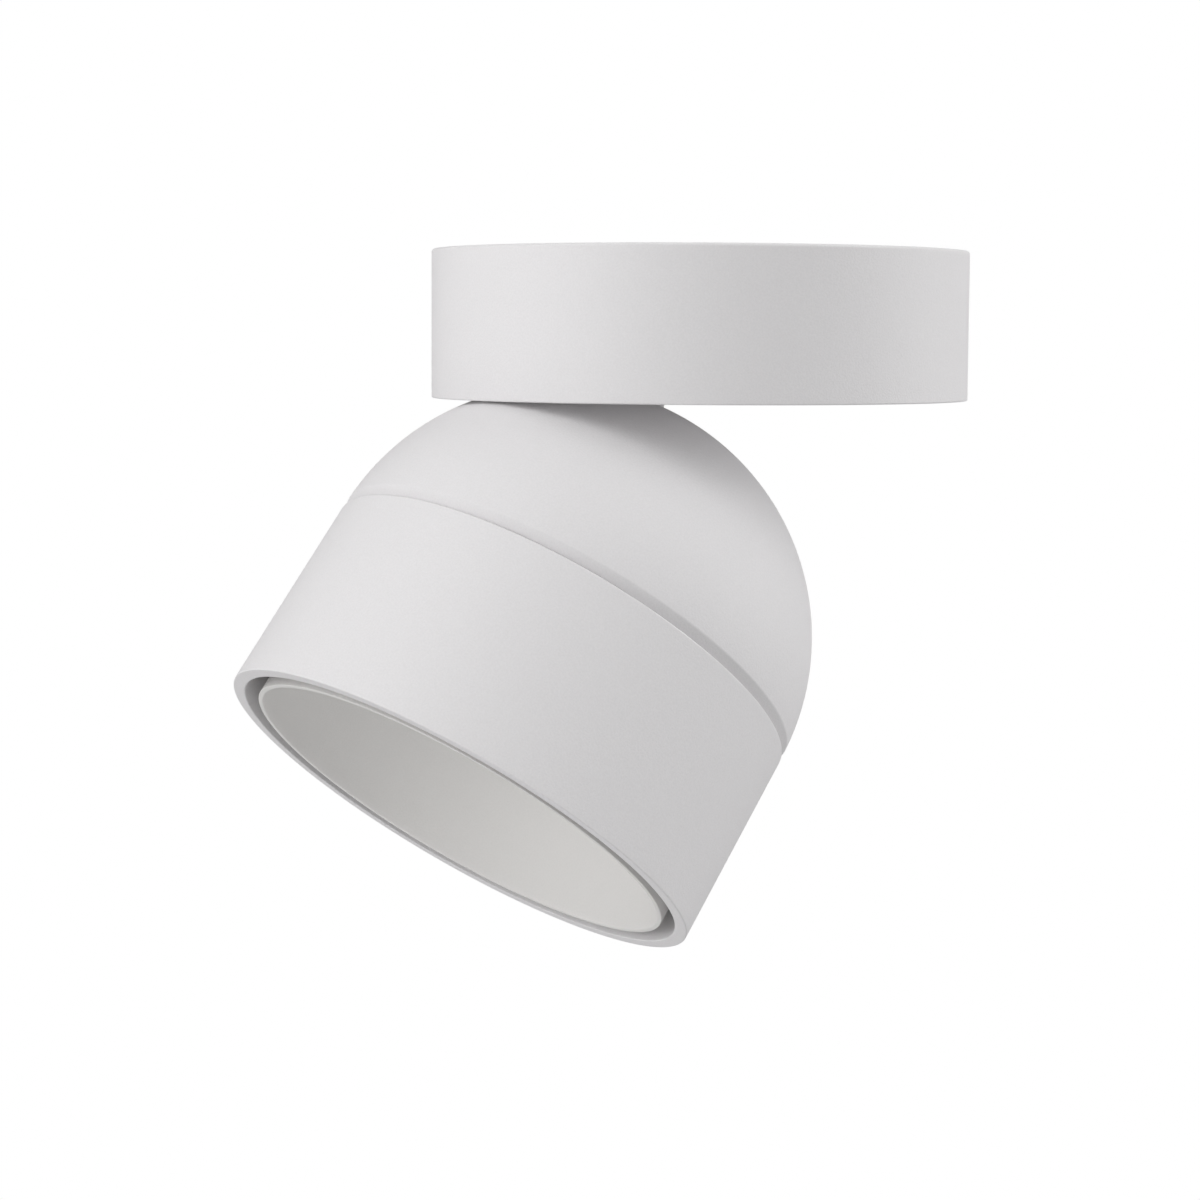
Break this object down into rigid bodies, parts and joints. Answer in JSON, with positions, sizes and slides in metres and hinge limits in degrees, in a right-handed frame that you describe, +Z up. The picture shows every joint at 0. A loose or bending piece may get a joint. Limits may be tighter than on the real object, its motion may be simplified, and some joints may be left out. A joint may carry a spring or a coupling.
{
  "type": "adjustable ceiling spotlight",
  "caption": "Surface ceiling spotlight: a plain round base with a hidden swivel, and a round-backed head with a deep anti-glare cup that pans and tilts.",
  "frame": {"origin": "centre of the bracket's ceiling face, in the middle of the round base", "axes": "+Z up into the ceiling, square to the bracket; +Y along the tilt pin; +X away from where the head leans at rest"},
  "size_m": [0.1702, 0.12, 0.1538],
  "materials": {
    "white_coat": "matte powder coat with a fine grain",
    "cup_coat": "matte powder coat",
    "zinc_steel": "zinc plated",
    "spring_steel": "plain spring steel",
    "brass": "plain",
    "bare_aluminium": "satin, die cast",
    "bright_aluminium": "bright, spun",
    "white_nylon": "moulded",
    "white_plastic": "moulded",
    "black_plastic": "moulded",
    "black_rubber": "soft",
    "circuit_board": "solder mask",
    "ferrite": "dull, with yellow tape",
    "capacitor_sleeve": "shrink sleeve",
    "pad_grey": "soft thermal pad",
    "ceramic": "dull ceramic",
    "phosphor": "soft phosphor gel",
    "lens_glass": "frosted",
    "grey_sheath": "cable sheath",
    "brown_sheath": "wire insulation",
    "blue_sheath": "wire insulation",
    "earth_sheath": "wire insulation, green and yellow",
    "red_sheath": "wire insulation",
    "black_sheath": "wire insulation"
  },
  "bodies": {
    "base": {"base_housing": "white_coat", "ceiling_bracket": "zinc_steel", "cable_grommet": "black_rubber", "base_set_screws": "zinc_steel", "pan_stop_pin": "zinc_steel", "pan_thrust_washers": "white_nylon", "terminal_block": "white_plastic", "terminal_tubes": "brass", "terminal_screws": "zinc_steel", "terminal_fixing_screws": "zinc_steel", "driver_tray": "white_plastic", "driver_lid": "white_plastic", "driver_board": "circuit_board", "driver_transformer": "ferrite", "driver_capacitors": "capacitor_sleeve", "driver_screws": "zinc_steel", "cable_clamp": "white_nylon", "clamp_screws": "zinc_steel", "earth_screw": "brass", "earth_washer": "brass", "live_wire": "brown_sheath", "neutral_wire": "blue_sheath", "earth_wire": "earth_sheath", "driver_lead": "grey_sheath"},
    "swivel": {"swivel_yoke": "white_coat", "pan_tube": "zinc_steel", "pan_stop_ring": "zinc_steel", "pan_spring_washer": "spring_steel", "pan_nut": "zinc_steel", "swivel_lead": "grey_sheath"},
    "head": {"hinge_friction_washers": "white_nylon", "hinge_spring_washers": "spring_steel", "tilt_screws": "zinc_steel", "head_stem": "white_coat", "stem_screws": "zinc_steel", "dome_housing": "white_coat", "front_tube": "white_coat", "tube_screws": "zinc_steel", "heat_sink": "bare_aluminium", "heat_sink_screws": "zinc_steel", "thermal_pad": "pad_grey", "led_chip": "ceramic", "led_emitter": "phosphor", "chip_holder": "white_plastic", "chip_holder_screws": "zinc_steel", "reflector": "bright_aluminium", "lens": "lens_glass", "optic_plate": "black_plastic", "cup_seal_ring": "black_rubber", "anti_glare_cup": "cup_coat", "head_lead": "grey_sheath", "positive_core": "red_sheath", "negative_core": "black_sheath"}
  },
  "joints": [
    {"name": "pan", "type": "hinge", "parent": "base", "child": "swivel", "pos_m": [0, 0, -0.02], "axis": [0, 0, 1], "range_deg": [-165, 165]},
    {"name": "tilt", "type": "hinge", "parent": "swivel", "child": "head", "pos_m": [-0.0195, 0, -0.0265], "axis": [0, 1, 0], "range_deg": [-37, 0]}
  ]
}
